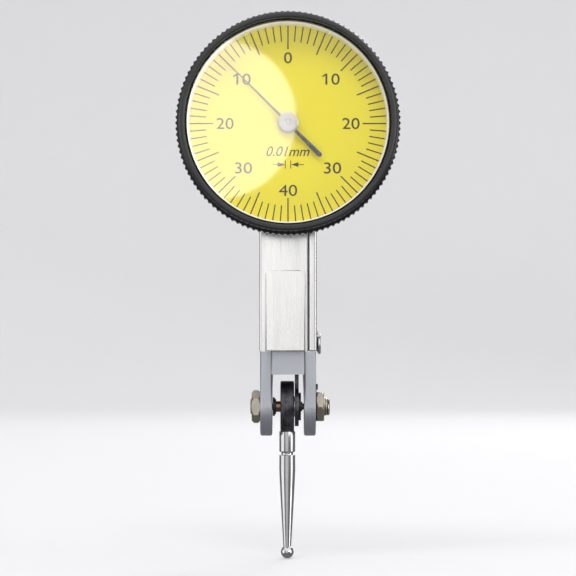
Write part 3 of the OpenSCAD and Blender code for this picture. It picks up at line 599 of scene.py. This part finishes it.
def make_ticks():
    bm = bmesh.new()
    for k in range(DIVISIONS):
        angle = 2 * math.pi * k / DIVISIONS
        is_long = k % LONG_EVERY == 0
        inner = LONG_TICK_IN if is_long else TICK_IN
        half = LONG_TICK_HALF_W if is_long else TICK_HALF_W
        along = Vector((math.sin(angle), math.cos(angle)))
        side = Vector((along.y, -along.x)) * half
        start, end = along * inner, along * TICK_OUT
        corners = [start - side, start + side, end + side, end - side]
        prism(bm, corners, 0, INK_T)
    ticks = finish_bmesh("dial_ticks", bm)
    wear(ticks, "bezel_set", "black_steel", LOOKS["ink"])


def add_flag(bm, stem, top, height):
    """The short stroke down from the top of a printed 1."""
    reach, thick, drop = 0.26 * height, 0.15 * height, 0.2 * height
    stroke = [(stem, top), (stem, top - thick), (stem - reach, top - thick - drop),
              (stem - reach, top - drop)]
    prism(bm, stroke, 0, INK_T)


# Printing ink spreads a little past the outline. The spread would close the counter of a 4.
INK_SPREAD = 0.004


def print_text(name, text, x, up, height, width, shear=0.0):
    """Lettering printed on the dial, centred on (x, up), with the given height and width."""
    curve = bpy.data.curves.new(name, "FONT")
    curve.body = text
    curve.align_x = "CENTER"
    curve.shear = shear
    curve.resolution_u = 6
    curve.offset = 0.0 if "4" in text else INK_SPREAD
    scratch = new_object(name + "_curve", curve)
    mesh = evaluated_mesh(scratch)
    bpy.data.objects.remove(scratch)
    tops = [v.co.y for v in mesh.vertices]
    sides = [v.co.x for v in mesh.vertices]
    size = height / (max(tops) - min(tops))
    stretch = width / (max(sides) - min(sides))
    middle = Vector(((max(sides) + min(sides)) / 2, (max(tops) + min(tops)) / 2))
    bm = bmesh.new()
    bm.from_mesh(mesh)
    bmesh.ops.remove_doubles(bm, verts=bm.verts, dist=1e-5)
    for v in bm.verts:
        across = (v.co.x - middle.x) * stretch
        v.co = on_dial(x + across, up + (v.co.y - middle.y) * size, 0)
    made = bmesh.ops.extrude_face_region(bm, geom=bm.faces)["geom"]
    bmesh.ops.translate(bm, vec=Vector((0, -INK_T, 0)),
                        verts=[g for g in made if isinstance(g, bmesh.types.BMVert)])
    if text.startswith("1"):
        add_flag(bm, x - width / 2, up + height / 2, height)
    return finish_bmesh(name, bm)


NUMBERS = (0, 10, 20, 30, 40, 30, 20, 10)
NUMBER_H = 1.7 * MM
NUMBER_W = {0: 1.2 * MM, 10: 2.15 * MM, 20: 2.6 * MM, 30: 2.6 * MM, 40: 2.75 * MM}
NUMBER_REACH = {0: 9.95 * MM, 10: 9.5 * MM, 20: 9.5 * MM, 30: 9.5 * MM, 40: 10.1 * MM}


def make_numbers():
    for k, value in enumerate(NUMBERS):
        angle = 2 * math.pi * k / len(NUMBERS)
        x, up = NUMBER_REACH[value] * math.sin(angle), NUMBER_REACH[value] * math.cos(angle)
        number = print_text(f"dial_number_{k}", str(value), x, up, NUMBER_H, NUMBER_W[value])
        wear(number, "bezel_set", "black_steel", LOOKS["ink"])


def make_unit():
    unit = print_text("dial_unit", "0.01mm", x=0, up=-4.2 * MM, height=1.5 * MM, width=6.5 * MM,
                      shear=0.3)
    wear(unit, "bezel_set", "black_steel", LOOKS["ink"])


def make_symbol():
    """Two arrows that meet two bars: the width of one division."""
    up = -6.2 * MM
    bar_x, bar_half, bar_w = 0.415 * MM, 0.62 * MM, 0.06 * MM
    end_x, line_half = 2.4 * MM, 0.055 * MM
    head_l, head_half = 1.1 * MM, 0.36 * MM
    bm = bmesh.new()
    for side in (-1, 1):
        def flat(points):
            outline = [(side * x, up + y) for x, y in points]
            prism(bm, outline if side > 0 else outline[::-1], 0, INK_T)
        flat([(bar_x - bar_w, -bar_half), (bar_x + bar_w, -bar_half), (bar_x + bar_w, bar_half),
              (bar_x - bar_w, bar_half)])
        base = bar_x + bar_w + head_l
        flat([(bar_x + bar_w, 0), (base, -head_half), (base, head_half)])
        flat([(base, -line_half), (end_x, -line_half), (end_x, line_half), (base, line_half)])
    symbol = finish_bmesh("dial_symbol", bm)
    wear(symbol, "bezel_set", "black_steel", LOOKS["ink"])


# ---------------------------------------------------------------- hand

HAND_ANGLE = math.radians(-45)


def make_hand():
    """A blade that tapers to its tip, with a paddle as counterweight."""
    low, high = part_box("hand")
    back, front = depth_of(high.y), depth_of(low.y)
    tip, tail = 14.3 * MM, 7.05 * MM
    root_w, tip_w = 0.19 * MM, 0.055 * MM
    paddle, neck = 0.375 * MM, 0.225 * MM
    hub = 1.2 * MM
    steps = 16
    outline = [(-tip_w, tip), (tip_w, tip)]
    start = math.asin(root_w / hub)
    stop = math.pi - math.asin(neck / hub)
    hub_turns = [start + (stop - start) * i / steps for i in range(steps + 1)]
    end_turns = [math.pi * i / steps for i in range(steps + 1)]
    outline += [(hub * math.sin(a), hub * math.cos(a)) for a in hub_turns]
    outline += [(paddle * math.cos(a), -(tail - paddle) - paddle * math.sin(a)) for a in end_turns]
    outline += [(-hub * math.sin(a), hub * math.cos(a)) for a in reversed(hub_turns)]
    turn = Matrix.Rotation(-HAND_ANGLE, 2)
    bm = bmesh.new()
    prism(bm, [tuple(turn @ Vector(p)) for p in outline], back, front)
    hand = finish_bmesh("hand_blade", bm)
    bevel = hand.modifiers.new("edges", "BEVEL")
    bevel.width = 0.03 * MM
    bevel.segments = 2
    hand.data = evaluated_mesh(hand)
    hand.modifiers.clear()
    shade(hand.data, 35)
    wear(hand, "pointer", "black_steel", LOOKS["hand"], "hand")


def make_hub():
    low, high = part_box("hand_hub")
    back, front = depth_of(high.y), depth_of(low.y)
    bore, skirt, cap, dish = 0.228 * MM, 1.6 * MM, 1.4 * MM, 0.56 * MM
    skirt_h, chamfer, dish_depth = 0.15 * MM, 0.1 * MM, 0.05 * MM
    profile = rounded_profile([
        (bore, back), (skirt, back), (skirt, back + skirt_h), (cap + 0.02 * MM, back + skirt_h + 0.04 * MM),
        (cap, front - 0.08 * MM), (cap - chamfer, front), (dish + 0.06 * MM, front),
        (dish, front - dish_depth), (bore, front - dish_depth),
    ], 0.03 * MM)
    hub = lathe("hub_cap", profile, on_dial, count=96)
    wear(hub, "pointer", "bright_steel", LOOKS["hub"], "hand_hub")


# ---------------------------------------------------------------- stylus

def make_stylus():
    _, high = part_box("stylus")
    ball_low, ball_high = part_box("stylus_ball")
    ball_r = (ball_high.z - ball_low.z) / 2
    reach = PIVOT.z - (ball_low.z + ball_r)
    shoulder, shank_top, shank_r = 3.8 * MM, PIVOT.z - high.z, 0.75 * MM
    thick, thin = 1.25 * MM, 0.6 * MM
    groove_top, groove_bottom, groove_r = 6.95 * MM, 7.6 * MM, 0.92 * MM
    taper_start, taper_end = 9.6 * MM, reach - ball_r * 0.8
    steps = 28
    upper = [
        (0, -shank_top), (shank_r, -shank_top), (shank_r, -shoulder), (thick - 0.06 * MM, -shoulder),
        (thick - 0.01 * MM, -shoulder - 0.07 * MM), (thick - 0.01 * MM, -groove_top),
        (groove_r, -groove_top - 0.14 * MM), (groove_r, -groove_bottom + 0.14 * MM),
        (thick, -groove_bottom),
    ]
    taper = [(thick - (thick - thin) * (i / steps) ** 1.15,
              -taper_start - (taper_end - taper_start) * i / steps) for i in range(steps + 1)]
    profile = rounded_profile(upper, 0.09 * MM) + taper + [(0, -taper_end)]

    def place(x, y, height):
        return Vector((STYLUS_X + x, PIVOT.y + y, PIVOT.z + height))

    shaft = lathe("stylus_shaft", profile, place, count=96)
    wear(shaft, "stylus_set", "bright_steel", LOOKS["stylus"], "stylus")
    rings = 48
    arc = [(ball_r * math.sin(math.pi * i / rings), -reach + ball_r * math.cos(math.pi * i / rings))
           for i in range(rings + 1)]
    arc[0], arc[-1] = (0, arc[0][1]), (0, arc[-1][1])
    ball = lathe("ball_tip", arc, place, count=96)
    wear(ball, "stylus_set", "bright_steel", LOOKS["stylus"], "stylus_ball")


# ---------------------------------------------------------------- pieces that keep their CAD shape

# Only edges at least this long, in mm, are rounded on these nodes, where shorter ones are in the way.
LONG_EDGE = {"frame": 1.0, "side_cover": 1.0, "lever_plate": 0.6}
ROUNDED = {  # node: (body, slot, look, edge radius in mm)
    "frame": ("housing", "satin_chrome", "frame", 0.13),
    "side_cover": ("housing", "satin_chrome", "cover", 0.12),
    "cover_screws": ("housing", "bright_steel", "steel", 0.05),
    "collar_screw": ("housing", "bright_steel", "steel", 0.05),
    "dial_case": ("housing", "bright_steel", "case", 0.06),
    "stylus_holder": ("stylus_set", "black_steel", "holder", 0.05),
    "lever_plate": ("lever", "black_steel", "holder", 0.06),
    "lever_washer": ("lever", "black_steel", "holder", 0.04),
    "axle_collar": ("lever", "black_steel", "holder", 0.04),
    "lever_axle": ("lever", "brass", "bronze", 0.03),
    "friction_washer": ("lever", "bright_steel", "steel", 0.01),
    "locknut_left": ("housing", "warm_nickel", "nickel", 0.07),
    "locknut_right": ("housing", "warm_nickel", "nickel", 0.07),
    "pivot_screw_left": ("housing", "warm_nickel", "thread", 0.03),
    "pivot_screw_right": ("housing", "warm_nickel", "thread", 0.03),
    "tab_washer": ("housing", "black_steel", "holder", 0.03),
}
SLOT_LOOK = {
    "bright_steel": "steel", "brass": "brass", "ruby": "ruby", "black_enamel": "seal",
    "black_steel": "holder", "warm_nickel": "nickel", "satin_chrome": "cover",
}


def make_rounded():
    pieces = []
    for node, (body, slot, look, width) in ROUNDED.items():
        piece = rounded_copy(node, width * MM, LONG_EDGE.get(node, 0) * MM)
        pieces.append(wear(piece, body, slot, LOOKS[look], node))
    return pieces


def dress_frame_nodes():
    """Every CAD node that still shows gets the material of its slot."""
    hidden = set(ROUNDED) | {
        "bezel", "crystal", "dial_ring", "dial_plate", "hand", "hand_hub", "stylus", "stylus_ball",
    }
    for part in frame["record"]["subparts"]:
        if part["node"] in hidden:
            continue
        mesh = NODE[part["node"]].data
        mesh.materials.clear()
        mesh.materials.append(LOOKS[SLOT_LOOK[part["material_slot"]]])


# ---------------------------------------------------------------- studio

def make_stage():
    """A pale floor that sweeps up into a round wall. Polished metal mirrors the world, not this."""
    floor_z = CAD_BOX[0].z
    flat, sweep, wall, thick = 0.75, 0.35, 1.5, 0.01
    steps = 24
    profile = [(0, 0), (flat, 0)]
    profile += [(flat + sweep * math.sin(math.pi / 2 * i / steps),
                 sweep * (1 - math.cos(math.pi / 2 * i / steps))) for i in range(1, steps + 1)]
    profile += [(flat + sweep, wall), (flat + sweep + thick, wall), (flat + sweep + thick, -thick),
                (0, -thick)]

    def place(x, y, height):
        return Vector((x, y, floor_z + height))

    floor = lathe("studio_floor", profile, place, count=128)
    floor.visible_glossy = False
    floor.visible_shadow = False
    look = Look("pale_floor", Specular_IOR_Level=0.2, Emission_Strength=0.08,
                Emission_Color=(1, 1, 1, 1))
    cloud = look.noise(6, 2.0, 0.5)
    floor.data.materials.append(look.done(
        Base_Color=look.mix(cloud, rgb(214, 214, 215), rgb(211, 211, 213)), Roughness=0.7))


def area_light(name, place, aim, size, power, shape="RECTANGLE", size_y=None):
    data = bpy.data.lights.new(name, "AREA")
    data.shape = shape
    data.size = size
    if size_y is not None:
        data.size_y = size_y
    data.energy = power
    lamp = bpy.data.objects.new(name, data)
    bpy.context.scene.collection.objects.link(lamp)
    lamp.location = place
    lamp.rotation_mode = "QUATERNION"
    lamp.rotation_quaternion = (Vector(aim) - Vector(place)).to_track_quat("-Z", "Y")
    lamp.visible_camera = False
    return lamp


def light_only(lamp, pieces):
    """Limits a light to some of the pieces."""
    receivers = bpy.data.collections.new(lamp.name + "_receivers")
    for piece in pieces:
        receivers.objects.link(piece)
    lamp.light_linking.receiver_collection = receivers


def make_glare(crystal):
    """A round softbox beside the camera, which the left half of the domed crystal mirrors."""
    azimuth = math.radians(GLARE_AZIMUTH_DEG)
    rise = math.radians(GLARE_RISE_DEG)
    aim = Vector((math.sin(azimuth) * math.cos(rise), -math.cos(azimuth) * math.cos(rise),
                  math.sin(rise)))
    size = 2 * GLARE_DISTANCE * math.tan(math.radians(GLARE_HALF_SIZE_DEG))
    lamp = area_light("glare_softbox", DIAL + aim * GLARE_DISTANCE, DIAL, size, GLARE_POWER, "DISK")
    light_only(lamp, [crystal])


GLARE_DISTANCE = 0.55
GLARE_AZIMUTH_DEG = -7.7
GLARE_RISE_DEG = 6.3
GLARE_HALF_SIZE_DEG = 8.5
GLARE_POWER = 0.27
WORLD = (  # direction, cosine where the patch starts and where it is full, strength
    ((-0.12, -1.0, 0.1), 0.82, 0.99, 0.56),
    ((0.0, -0.35, 0.94), 0.45, 0.85, 0.95),
    ((-0.95, -0.3, 0.1), 0.86, 0.93, 1.1),
    ((0.93, -0.36, 0.1), 0.9, 0.95, 0.7),
    ((-0.1, 1.0, 0.15), 0.8, 0.98, 0.5),
)
WORLD_BASE = 0.2


def make_world():
    """Soft patches of light round a dim room, so that polished metal shows light and dark."""
    world = bpy.data.worlds.new("studio_world")
    bpy.context.scene.world = world
    world.use_nodes = True
    tree = world.node_tree
    direction = tree.nodes.new("ShaderNodeTexCoord").outputs["Generated"]
    total = None
    for aim, begin, full, strength in WORLD:
        dot = tree.nodes.new("ShaderNodeVectorMath")
        dot.operation = "DOT_PRODUCT"
        tree.links.new(direction, dot.inputs[0])
        dot.inputs[1].default_value = Vector(aim).normalized()
        patch = tree.nodes.new("ShaderNodeMapRange")
        patch.interpolation_type = "SMOOTHSTEP"
        tree.links.new(dot.outputs["Value"], patch.inputs["Value"])
        patch.inputs["From Min"].default_value = begin
        patch.inputs["From Max"].default_value = full
        patch.inputs["To Max"].default_value = strength
        added = tree.nodes.new("ShaderNodeMath")
        tree.links.new(patch.outputs[0], added.inputs[0])
        if total is None:
            added.inputs[1].default_value = WORLD_BASE
        else:
            tree.links.new(total, added.inputs[1])
        total = added.outputs[0]
    tree.links.new(total, tree.nodes["Background"].inputs["Strength"])
    tree.nodes["Background"].inputs["Color"].default_value = (1, 1, 1, 1)


def make_lights(crystal, metal):
    middle = (CAD_BOX[0] + CAD_BOX[1]) / 2
    make_glare(crystal)
    make_world()
    sheen = area_light("metal_softbox", (-0.07, -0.5, 0.06), middle, size=0.2, power=0.085,
                       shape="DISK")
    light_only(sheen, metal)
    top = area_light("top_softbox", (-0.15, -0.45, 0.6), middle, size=0.8, power=3.0)
    top.visible_glossy = False
    area_light("back_fill", (0.25, 0.55, 0.4), middle, size=0.4, power=1.6)
    area_light("right_fill", (0.6, -0.25, 0.1), middle, size=0.12, power=0.7, size_y=0.6)
    dial_fill = area_light("dial_fill", (0.32, -0.5, 0.1), DIAL, size=0.3, power=0.6)
    light_only(dial_fill, [o for o in bpy.context.scene.objects
                           if o.type == "MESH" and o not in metal and o.name != "studio_floor"])


LENS = 130
SENSOR = 36
CAMERA_RISE_DEG = -1.6
FRAMING = 1.06


def make_camera():
    low, high = CAD_BOX
    middle = (low + high) / 2
    middle.x = DIAL.x
    half_angle = math.atan(SENSOR / 2 / LENS)
    distance = (high.z - low.z) / 2 * FRAMING / math.tan(half_angle)
    rise = math.radians(CAMERA_RISE_DEG)
    data = bpy.data.cameras.new("camera")
    data.lens = LENS
    data.sensor_width = SENSOR
    data.clip_start = 0.01
    data.clip_end = 10
    camera = bpy.data.objects.new("camera", data)
    bpy.context.scene.collection.objects.link(camera)
    away = Vector((0, -math.cos(rise), math.sin(rise)))
    camera.location = middle + away * distance
    camera.rotation_mode = "QUATERNION"
    camera.rotation_quaternion = (-away).to_track_quat("-Z", "Y")
    bpy.context.scene.camera = camera


make_camera()
make_stage()
make_bezel()
lens = make_crystal()
make_dial_ring()
make_dial_face()
make_ticks()
make_numbers()
make_unit()
make_symbol()
make_hand()
make_hub()
make_stylus()
metal = make_rounded()
dress_frame_nodes()
make_lights(lens, metal)
bpy.context.scene.view_settings.view_transform = "Standard"
